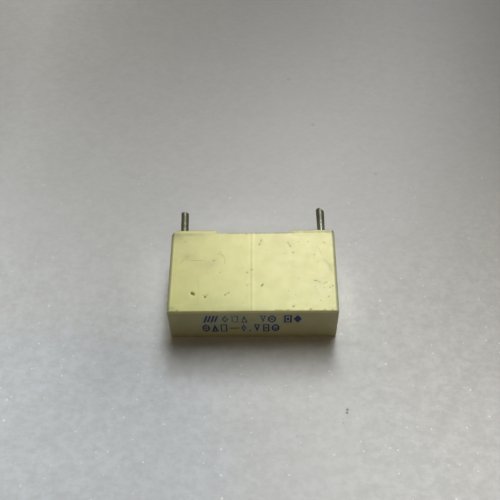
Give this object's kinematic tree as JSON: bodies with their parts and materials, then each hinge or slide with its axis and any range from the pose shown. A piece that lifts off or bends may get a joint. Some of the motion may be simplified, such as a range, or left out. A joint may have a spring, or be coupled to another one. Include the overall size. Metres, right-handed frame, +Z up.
{
  "type": "polyester film capacitor",
  "caption": "Box-type radial film capacitor: moulded plastic case potted at its open end, with standoff feet and cut tinned wire leads.",
  "frame": {"origin": "on the large side face that the case lies on, at the middle of the case's plan outline (the leads are left out of that middle)", "axes": "+X along the long side of the case, the direction of the lead pitch; +Y out of the open, potted end, the way the leads point; +Z up through the thickness of the case"},
  "size_m": [0.0176, 0.0149, 0.0053],
  "materials": {
    "case_plastic": "satin",
    "resin": "satin",
    "metallised_film": "gloss",
    "sprayed_metal": "matte",
    "tinned_wire": "satin"
  },
  "bodies": {
    "root": {"case": "case_plastic", "potting_resin": "resin", "film_winding": "metallised_film", "left_end_spray": "sprayed_metal", "right_end_spray": "sprayed_metal", "left_lead": "tinned_wire", "right_lead": "tinned_wire"}
  },
  "joints": []
}
